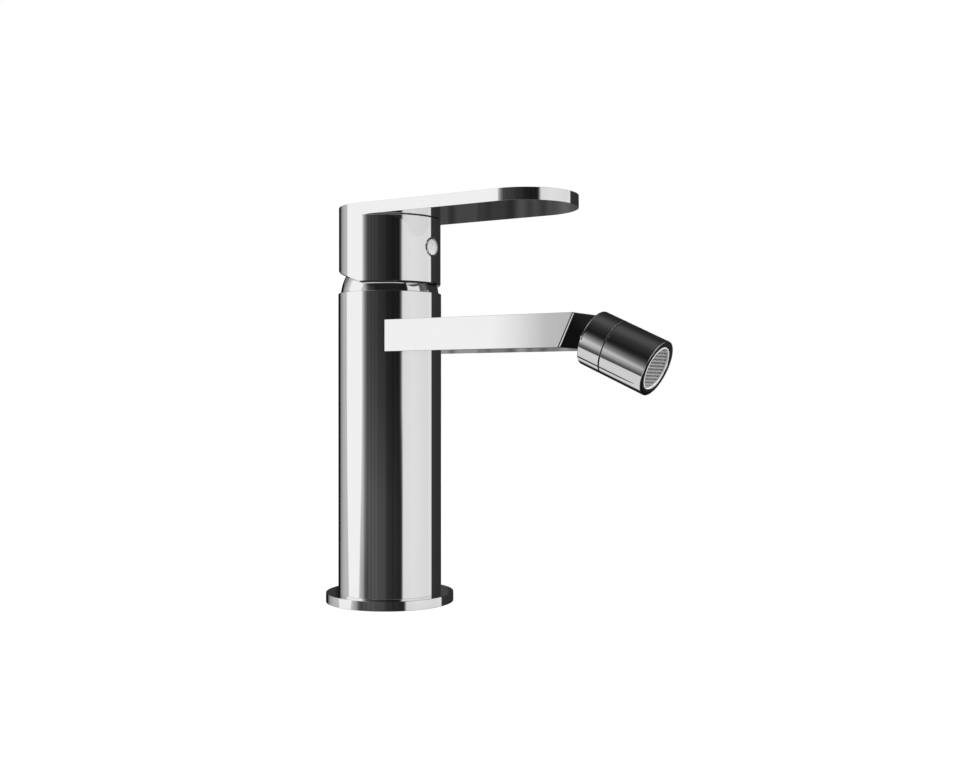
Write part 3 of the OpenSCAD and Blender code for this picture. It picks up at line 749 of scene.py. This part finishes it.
class MIXER_OT_ball_joint(bpy.types.Operator):
    """Ball stud that the nozzle swivels on"""
    bl_idname = "mixer.ball_joint"
    bl_label = "Ball stud"

    def execute(self, context):
        s = context.scene.mixer.nozzle
        seat = 0.5 * MM
        centre = s.gap + s.ball_depth
        ball = arc(s.ball_radius, centre, -math.acos(s.neck_radius / s.ball_radius),
                   math.acos(s.bore / s.ball_radius), 48)
        stud = spun([
            (s.bore, -s.stud_length, 0), (s.stud_radius, -s.stud_length, s.edge),
            (s.stud_radius, seat, 0), (s.neck_radius - seat, seat, 0), (s.neck_radius - seat, 0, 0),
            (s.neck_radius, 0, 0), *ball,
        ])
        add_piece(moved(stud, nozzle_place(s)), "swivel_stud", "mixer", "chrome",
                  "ball_stud").visible_glossy = False
        return {"FINISHED"}


class MIXER_OT_nozzle(bpy.types.Operator):
    """Rear and front sleeve of the nozzle"""
    bl_idname = "mixer.nozzle"
    bl_label = "Nozzle sleeves"

    def execute(self, context):
        s = context.scene.mixer.nozzle
        fit = context.scene.mixer.body.fit
        centre = s.gap + s.ball_depth
        seam, end = s.gap + s.collar, s.gap + s.length
        spigot_end = centre + s.spigot_reach
        mouth = s.mouth_radius + (s.ball_depth - s.mouth_depth) * math.tan(s.mouth_flare)
        socket = arc(s.socket_radius, centre, math.asin(s.spigot_reach / s.socket_radius),
                     -math.asin(s.mouth_depth / s.socket_radius), 32)
        rear = spun([
            (mouth, s.gap, s.edge / 2), (s.radius, s.gap, 1.5 * s.edge),
            (s.radius, seam - s.seam / 2, s.seam / 8), (s.spigot_radius, seam - s.seam / 2, 0),
            (s.spigot_radius, spigot_end, 0), *socket,
        ])
        add_piece(moved(rear, nozzle_place(s)), "rear_sleeve", "nozzle", "chrome", "ball_collar")
        lip = end - s.lip_length
        front = spun([
            (s.spigot_radius + fit, seam + s.seam / 2, 0), (s.radius, seam + s.seam / 2, s.seam / 8),
            (s.radius, end, s.edge),
            (s.lip_radius, end, s.edge), (s.lip_radius, lip, 0), (s.sleeve_bore, lip, 0),
            (s.sleeve_bore, spigot_end, 0), (s.spigot_radius + fit, spigot_end, 0),
        ])
        add_piece(moved(front, nozzle_place(s)), "front_sleeve", "nozzle", "chrome", "aerator_housing")
        return {"FINISHED"}


class MIXER_OT_aerator(bpy.types.Operator):
    """White aerator insert with its jets, and the moulded grid at the outlet"""
    bl_idname = "mixer.aerator"
    bl_label = "Aerator"

    def execute(self, context):
        s = context.scene.mixer.nozzle
        fit = context.scene.mixer.body.fit
        end = s.gap + s.length
        self.insert(s, fit, end)
        self.grid(s, end - s.screen_sink)
        return {"FINISHED"}

    def insert(self, s, fit, end):
        """Insert with a rounded front rim and a plate of jets."""
        shoulder, front = end - s.lip_length, end - s.rim_sink
        outer, rim, bore = s.sleeve_bore - fit, s.lip_radius - s.lip_groove, s.screen_radius + fit
        mouth, seat = bore + s.grid_groove, end - s.screen_sink - s.grid_depth / 2
        bead = 0.4 * (rim - mouth)
        plate_low = s.insert_back + s.plate_depth
        plate_high = plate_low + s.plate
        solid = spun([
            (bore, s.insert_back, s.edge / 3), (outer, s.insert_back, s.edge / 2), (outer, shoulder, 0),
            (rim, shoulder, 0), (rim, front, bead), (mouth, front, bead), (mouth, seat, 0),
            (bore, seat, 0), (bore, plate_high, 0), (0, plate_high, 0), (0, plate_low, 0),
            (bore, plate_low, 0),
        ], INSERT_STEPS)
        jets = []
        for i in range(s.jets):
            jet = rod(s.jet_radius, plate_low - s.plate, plate_high + s.plate, JET_STEPS)
            turn = Matrix.Rotation(FULL_TURN * i / s.jets, 4, "Z")
            jets.append(moved(jet, turn @ Matrix.Translation((s.jet_ring, 0, 0))))
        add_piece(moved(carve(solid, *jets), nozzle_place(s)), "aerator_core", "nozzle", "white_plastic",
                  "aerator_insert")

    def grid(self, s, front):
        """Square grid in its rim: soft-edged bars across, and upright bars behind them."""
        across = self.bars(s, front - s.grid_depth / 2, front, Matrix.Rotation(math.pi / 2, 4, "Z"))
        round_edges(across, [e for e in across.edges if min(v.co.z for v in e.verts) > front - MERGE],
                    s.bar / 5, 2)
        upright = self.bars(s, front - s.grid_depth, front - s.grid_depth / 3, Matrix())
        bm = combined("UNION", across, upright)
        outer, inner = s.screen_radius, s.screen_radius - s.grid_rim
        low, high = front - 1.1 * s.grid_depth, front + 0.1 * s.grid_depth
        disc = rod((outer + inner) / 2, front - 2 * s.grid_depth, front + s.grid_depth, INSERT_STEPS)
        rim = spun([
            (inner, low, 0), (outer, low, 0),
            (outer, high, s.grid_rim / 3), (inner, high, s.grid_rim / 3),
        ], INSERT_STEPS)
        bm = combined("UNION", combined("INTERSECT", bm, disc), rim)
        add_piece(moved(bm, nozzle_place(s)), "outlet_grid", "nozzle", "grey_plastic", "aerator_screen")

    def bars(self, s, low, high, turn):
        """Row of parallel bars, from side to side of the grid."""
        bm = bmesh.new()
        count = math.floor(s.screen_radius / s.mesh_pitch)
        for i in range(-count, count + 1):
            bmesh.ops.create_cube(bm, size=1, matrix=(
                turn @ Matrix.Translation((i * s.mesh_pitch, 0, (low + high) / 2))
                @ Matrix.Diagonal((s.bar, 2 * s.screen_radius, high - low, 1))))
        return bm


class MIXER_OT_inner_parts(bpy.types.Operator):
    """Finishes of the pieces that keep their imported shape"""
    bl_idname = "mixer.inner_parts"
    bl_label = "Inner parts"

    def execute(self, context):
        for part in frame["record"]["subparts"]:
            node = frame["nodes"][part["node"]]
            if not node.hide_render:
                node.data.materials.clear()
                node.data.materials.append(finish(part["material_slot"]))
                node.visible_glossy = False
        return {"FINISHED"}


def stage_material(name):
    """Material without a surface shader yet, and its node tree."""
    made = bpy.data.materials.new(name)
    made.use_nodes = True
    made.node_tree.nodes.remove(made.node_tree.nodes["Principled BSDF"])
    return made, made.node_tree


def seen_rays(tree):
    """Mask of the rays that show a surface to the camera, directly, mirrored or through glass."""
    rays = add_node(tree, "LightPath").outputs
    seen = rays["Is Camera Ray"]
    for kind in ("Is Glossy Ray", "Is Transmission Ray"):
        both = add_node(tree, "Math", {0: seen, 1: rays[kind]}, operation="ADD", use_clamp=True)
        seen = both.outputs[0]
    return seen


class TentCards:
    """Brightness of the tent, by the angle round from the camera and the angle of rise."""

    def __init__(self, tree, camera_azimuth):
        self.tree = tree
        place = add_node(tree, "TexCoord").outputs["Object"]
        turn = add_node(tree, "Mapping", {
            "Vector": place, "Rotation": (0, 0, math.pi / 2 - camera_azimuth)}, vector_type="POINT")
        gradient = add_node(
            tree, "TexGradient", {"Vector": turn.outputs["Vector"]}, gradient_type="RADIAL")
        self.azimuth = gradient.outputs["Fac"]
        unit = add_node(tree, "VectorMath", {0: place}, operation="NORMALIZE")
        parts = add_node(tree, "SeparateXYZ", {0: unit.outputs[0]})
        rise = self.figure("ARCSINE", parts.outputs["Z"])
        self.rise = self.figure("MULTIPLY_ADD", rise, 1 / math.pi, 0.5)

    def figure(self, operation, *values):
        """Arithmetic on brightnesses and angles."""
        return add_node(self.tree, "Math", dict(enumerate(values)), operation=operation).outputs[0]

    def times(self, first, second):
        """One brightness or mask multiplied by another."""
        return self.figure("MULTIPLY", first, second)

    def ramp(self, driver, span, stops):
        """Brightness along an angle, from stops of (degrees, level). It stays level past the ends."""
        made = add_node(self.tree, "ValToRGB", {"Fac": driver})
        points = made.color_ramp.elements
        while len(points) < len(stops):
            points.new(1)
        for point, (degrees, value) in zip(points, stops):
            point.position = degrees / span + 0.5
            point.color = (value, value, value, 1)
        return made.outputs["Color"]

    def around(self, *stops):
        """Brightness along the angle round from the camera."""
        return self.ramp(self.azimuth, 360, stops)

    def upward(self, *stops):
        """Brightness along the angle of rise."""
        return self.ramp(self.rise, 180, stops)

    def blend(self, first, second, share):
        """Goes from the first brightness to the second."""
        ends = [(end, end, end, 1) if isinstance(end, float) else end for end in (first, second)]
        mix = add_node(self.tree, "Mix", {"Factor": share, "A": ends[0], "B": ends[1]}, data_type="RGBA")
        return mix.outputs["Result"]

    def folded(self, cloth, share, count, low, high):
        """Cloth with upright folds, so many in a turn, where it has a share."""
        threads = add_node(self.tree, "TexNoise", {"W": self.azimuth, "Scale": count, "Detail": 1},
                           noise_dimensions="1D")
        folds = self.ramp(threads.outputs["Fac"], 360, ((-30, low), (30, high)))
        return self.blend(cloth, self.times(cloth, folds), share)


class MIXER_OT_stage(bpy.types.Operator):
    """Pale floor, soft studio light, the cards that the metal mirrors, and the camera"""
    bl_idname = "mixer.stage"
    bl_label = "Stage"

    def execute(self, context):
        s = context.scene.mixer.studio
        self.floor(s)
        self.tent(s)
        self.lamps(s)
        self.world(context, s)
        self.camera(context, s)
        context.scene.view_settings.view_transform = "Standard"
        return {"FINISHED"}

    def floor(self, s):
        """White floor. A part of its white shows in the camera's and the metal's rays alone."""
        bm = bmesh.new()
        bmesh.ops.create_grid(bm, x_segments=1, y_segments=1, size=s.floor_half)
        floor = as_object(bm, "floor")
        made, tree = stage_material("floor_white")
        matt = add_node(tree, "BsdfDiffuse", {"Color": (s.floor_matt,) * 3 + (1,)})
        glow = add_node(tree, "Emission")
        scale = add_node(tree, "Math", {0: seen_rays(tree), 1: 1 - s.floor_matt * s.ambient},
                         operation="MULTIPLY")
        tree.links.new(scale.outputs[0], glow.inputs["Strength"])
        both = add_node(tree, "AddShader", {0: matt.outputs[0], 1: glow.outputs[0]})
        tree.links.new(both.outputs[0], tree.nodes["Material Output"].inputs["Surface"])
        floor.data.materials.append(made)
        floor.visible_glossy = False

    def tent(self, s):
        """Ring of softboxes and dark cards far round the mixer, which only mirrors see."""
        bm = bmesh.new()
        bmesh.ops.create_uvsphere(bm, u_segments=96, v_segments=48, radius=s.tent_radius)
        bmesh.ops.reverse_faces(bm, faces=bm.faces)
        tent = as_object(bm, "studio_tent")
        tent.data.shade_smooth()
        for hidden in ("camera", "diffuse", "transmission", "volume_scatter", "shadow"):
            setattr(tent, "visible_" + hidden, False)
        made, tree = stage_material("studio_cards")
        made.cycles.emission_sampling = "NONE"
        cards = TentCards(tree, s.camera_azimuth)
        sides = self.above(cards, s, self.walls(cards, s))
        glow = add_node(tree, "Emission", {"Color": self.below(cards, s, sides)})
        tree.links.new(glow.outputs[0], tree.nodes["Material Output"].inputs["Surface"])
        tent.data.materials.append(made)

    def walls(self, c, s):
        """Cards about level with the mixer: left fill and softbox, front flag, right softbox, rear."""
        black, dark, fill, strip = s.flag / 5, s.flag, s.fill, s.strip
        walls = c.around(
            (-180, 1.45 * dark), (-170, 1.4 * dark), (-167, black), (-146, black), (-143.5, 0.8 * dark),
            (-141, 0.2 * fill), (-138, 0.35 * fill), (-130, 0.68 * fill), (-120, 0.88 * fill),
            (-112, fill), (-66, 1.1 * fill), (-59, 1.06 * fill), (-57.7, fill), (-54, 0.5 * fill),
            (-50, 0.25 * fill), (-46, 2.1 * dark), (-28, 1.5 * dark), (-12, 0.9 * dark), (0, 0.6 * dark),
            (12, 0.37 * dark), (25, 0.45 * dark), (28, 0.11 * strip), (30, 0.35 * strip),
            (32, 0.85 * strip), (34.5, 0.97 * strip), (55, 1.03 * strip), (97, 0.95 * strip),
            (105, 1.03 * strip), (109.6, 0.95 * strip), (110.8, 1.3 * dark), (150, dark),
            (180, 1.45 * dark))
        # The patch doubles the wall's level. A ramp's levels end at 1, so it is written at half.
        rear_patch = c.around((172, 0.5), (174, 1), (176.8, 1), (177.6, 0.5))
        walls = c.times(c.times(walls, rear_patch), 2.0)
        low_front = c.around((-52, 0), (-44, 1), (-10, 0.8), (4, 0.3), (24, 0.2), (28, 0))
        low = c.upward((-5, 1), (-3, 0.65), (0, 0.3), (4, 0))
        faint = 0.05
        walls = c.blend(walls, s.front_glow, c.times(c.times(low_front, low), faint))
        behind = c.around((-174, 1), (-172, 0), (172, 0), (174, 1))
        level_with = c.upward((-5, 0), (-4, 1), (-0.6, 1), (0, 0))
        walls = c.blend(walls, s.backdrop, c.times(behind, level_with))
        rear_cloth = c.around((-168, 1), (-160, 0), (113, 0), (118, 0.3), (160, 0.3), (168, 1))
        walls = c.folded(walls, rear_cloth, s.rear_folds, 0.5, 1.45)
        front_cloth = c.around((-48, 0), (-44, 1), (20, 1), (25, 0))
        walls = c.folded(walls, front_cloth, s.front_folds, 0.85, 1.15)
        left_foot = c.around((-66, 1), (-62, 0.71), (-54, 0.59), (-50, 0.46), (-46, 0.67), (-40, 0.88),
                             (-28, 1))
        by_left_foot = c.upward((-9, 1), (-7, 0.45), (-5, 0.1), (-4, 0))
        walls = c.blend(walls, c.times(walls, left_foot), by_left_foot)
        right_foot = c.around((24, 1), (26, 0.5), (28, 0.24), (30, 0.16), (32, 0.59), (34, 1))
        by_right_foot = c.upward((-5, 1), (-2.3, 0.7), (-0.5, 0))
        walls = c.blend(walls, c.times(walls, right_foot), by_right_foot)
        narrow = c.upward((-16, 0.1), (-12, 0.5), (-10, 0.65), (-7, 0.8), (-4, 0.93), (0, 1))
        middle = s.softbox_azimuth / FULL_TURN + 0.5
        from_middle = c.figure("DIVIDE", c.figure("SUBTRACT", c.azimuth, middle), narrow)
        softbox = c.ramp(c.figure("ADD", from_middle, 0.5), 360,
                         ((-23.5, 0), (-22, 1), (23.3, 1), (24.8, 0)))
        return c.blend(walls, s.softbox, softbox)

    def above(self, c, s, walls):
        """Adds the lights over the walls, the dark cloth overhead and the skylight at the left."""
        dim, dark, fill, ceiling = s.flag / 2, s.flag, s.fill, s.ceiling
        upper = c.around(
            (-180, 0.15 * fill), (-150, 0.25 * fill), (-135, 0.4 * fill), (-112, 0.7 * s.softbox),
            (-104, s.softbox), (-68, s.softbox), (-62, 0.3 * s.softbox), (-55, dim), (46, dim),
            (49, s.strip), (78, s.strip), (82, 3 * dark), (96, 5 * dark), (112, dark))
        raised = c.upward((12, 0), (14.5, 1))
        slowly = c.upward((14, 0), (17, 0.1), (22, 0.4), (28, 0.85), (33, 1))
        corner = c.around((-64, 0), (-58, 1), (-38, 1), (-30, 0))
        sides = c.blend(walls, upper, c.blend(raised, slowly, corner))
        overhead = c.upward(
            (39, 0.2 * ceiling), (44, 0.3 * ceiling), (55, 0.4 * ceiling), (60, 0.52 * ceiling),
            (66, 0.6 * ceiling), (71, 0.8 * ceiling), (80, 1.06 * ceiling), (90, 1.25 * ceiling))
        sides = c.blend(sides, overhead, c.upward((34, 0), (40, 1)))
        skylight = c.around((-172, 0), (-160, 1), (-85, 1), (-70, 0))
        high = c.upward((30, 0), (50, 1), (70, 1), (82, 0))
        return c.blend(sides, s.strip, c.times(skylight, high))

    def below(self, c, s, sides):
        """Fades the walls to black downwards, and adds the pale floor as the metal sees it."""
        black, dark, bounce = s.flag / 5, s.flag, s.bounce
        fading = c.upward((-90, 1), (-27, 0.9), (-22, 0.83), (-17.5, 0.63), (-13, 0.33), (-10.4, 0.04),
                          (-9.6, 0))
        sides = c.blend(sides, black, fading)
        rear_right = c.around((112, 0), (118, 1), (160, 1), (165, 0))
        sides = c.blend(sides, black, c.times(rear_right, c.upward((-17.4, 1), (-16.8, 0))))
        ribs = [(-150 + 6 * i, bounce * (0.84 if i % 2 else 1)) for i in range(13)]
        ground = c.around(
            (-165, black), (-159, 0.12 * bounce), (-153, 0.85 * bounce), *ribs, (60, bounce), (85, dark),
            (125, dark), (180, black))
        ground = c.blend(ground, dark, c.upward((-46.5, 1), (-44.5, 0)))
        lower_left = c.around((-166, 0), (-163, 1), (-128, 1), (-122, 0))
        floor_left = c.times(lower_left, c.upward((-22, 1), (-20, 0)))
        floor_seen = c.figure("MAXIMUM", c.upward((-27.9, 1), (-27.3, 0)), floor_left)
        return c.blend(sides, ground, floor_seen)

    def lamps(self, s):
        """Two large soft lamps, in front at the left and at the right."""
        aim = Vector((0, 0, 0.08))
        for name, place in (("lamp_left", (-1.4, -0.6, 1.3)), ("lamp_right", (0.7, -1.7, 0.5))):
            light = bpy.data.lights.new(name, "AREA")
            light.shape = "DISK"
            light.size = s.lamp_size
            light.energy = s.lamp_power
            lamp = bpy.data.objects.new(name, light)
            bpy.context.scene.collection.objects.link(lamp)
            lamp.location = place
            lamp.rotation_mode = "QUATERNION"
            lamp.rotation_quaternion = (aim - lamp.location).to_track_quat("-Z", "Y")
            lamp.visible_glossy = False
            lamp.visible_camera = False

    def world(self, context, s):
        """White all round for what is seen, an even level for what is lit."""
        world = bpy.data.worlds.new("studio_white")
        world.use_nodes = True
        context.scene.world = world
        tree = world.node_tree
        background = tree.nodes["Background"].inputs
        background["Color"].default_value = (1, 1, 1, 1)
        choose = add_node(tree, "MapRange", {
            "Value": seen_rays(tree), "To Min": s.ambient, "To Max": 1})
        tree.links.new(choose.outputs["Result"], background["Strength"])

    def camera(self, context, s):
        """Level camera at the photograph's viewing angle."""
        data = bpy.data.cameras.new("camera")
        data.sensor_width = 36
        data.lens = s.lens
        data.shift_y = s.lift
        data.clip_start, data.clip_end = 0.01, 50
        camera = bpy.data.objects.new("camera", data)
        context.scene.collection.objects.link(camera)
        back = Vector((math.sin(s.camera_azimuth), -math.cos(s.camera_azimuth), 0))
        camera.location = s.camera_place
        camera.rotation_mode = "QUATERNION"
        camera.rotation_quaternion = (-back).to_track_quat("-Z", "Y")
        context.scene.camera = camera


OPERATORS = (
    MIXER_OT_foot, MIXER_OT_body, MIXER_OT_dome, MIXER_OT_handle, MIXER_OT_plug, MIXER_OT_spout,
    MIXER_OT_ball_joint, MIXER_OT_nozzle, MIXER_OT_aerator, MIXER_OT_inner_parts, MIXER_OT_stage,
)


class MIXER_PT_panel(bpy.types.Panel):
    """Lists the mixer's pieces and settings"""
    bl_idname = "MIXER_PT_panel"
    bl_label = "Bidet mixer"
    bl_space_type = "VIEW_3D"
    bl_region_type = "UI"
    bl_category = "Mixer"

    def draw(self, context):
        settings = context.scene.mixer
        for operator in OPERATORS:
            self.layout.operator(operator.bl_idname)
        for group in ("body", "spout", "handle", "nozzle", "finish", "studio"):
            box = self.layout.box()
            box.label(text=group.capitalize())
            values = getattr(settings, group)
            for name in values.__annotations__:
                box.prop(values, name)


CLASSES = (
    MixerBodySizes, MixerSpoutSizes, MixerHandleSizes, MixerNozzleSizes, MixerFinishes, MixerStudio,
    MixerSettings, *OPERATORS, MIXER_PT_panel,
)


def register():
    for item in CLASSES:
        bpy.utils.register_class(item)
    bpy.types.Scene.mixer = bpy.props.PointerProperty(type=MixerSettings)


def unregister():
    del bpy.types.Scene.mixer
    for item in reversed(CLASSES):
        bpy.utils.unregister_class(item)


def main():
    register()
    bpy.ops.mixer.foot()
    bpy.ops.mixer.body()
    bpy.ops.mixer.dome()
    bpy.ops.mixer.handle()
    bpy.ops.mixer.plug()
    bpy.ops.mixer.spout()
    bpy.ops.mixer.ball_joint()
    bpy.ops.mixer.nozzle()
    bpy.ops.mixer.aerator()
    bpy.ops.mixer.inner_parts()
    bpy.ops.mixer.stage()


if __name__ == "__main__":
    main()
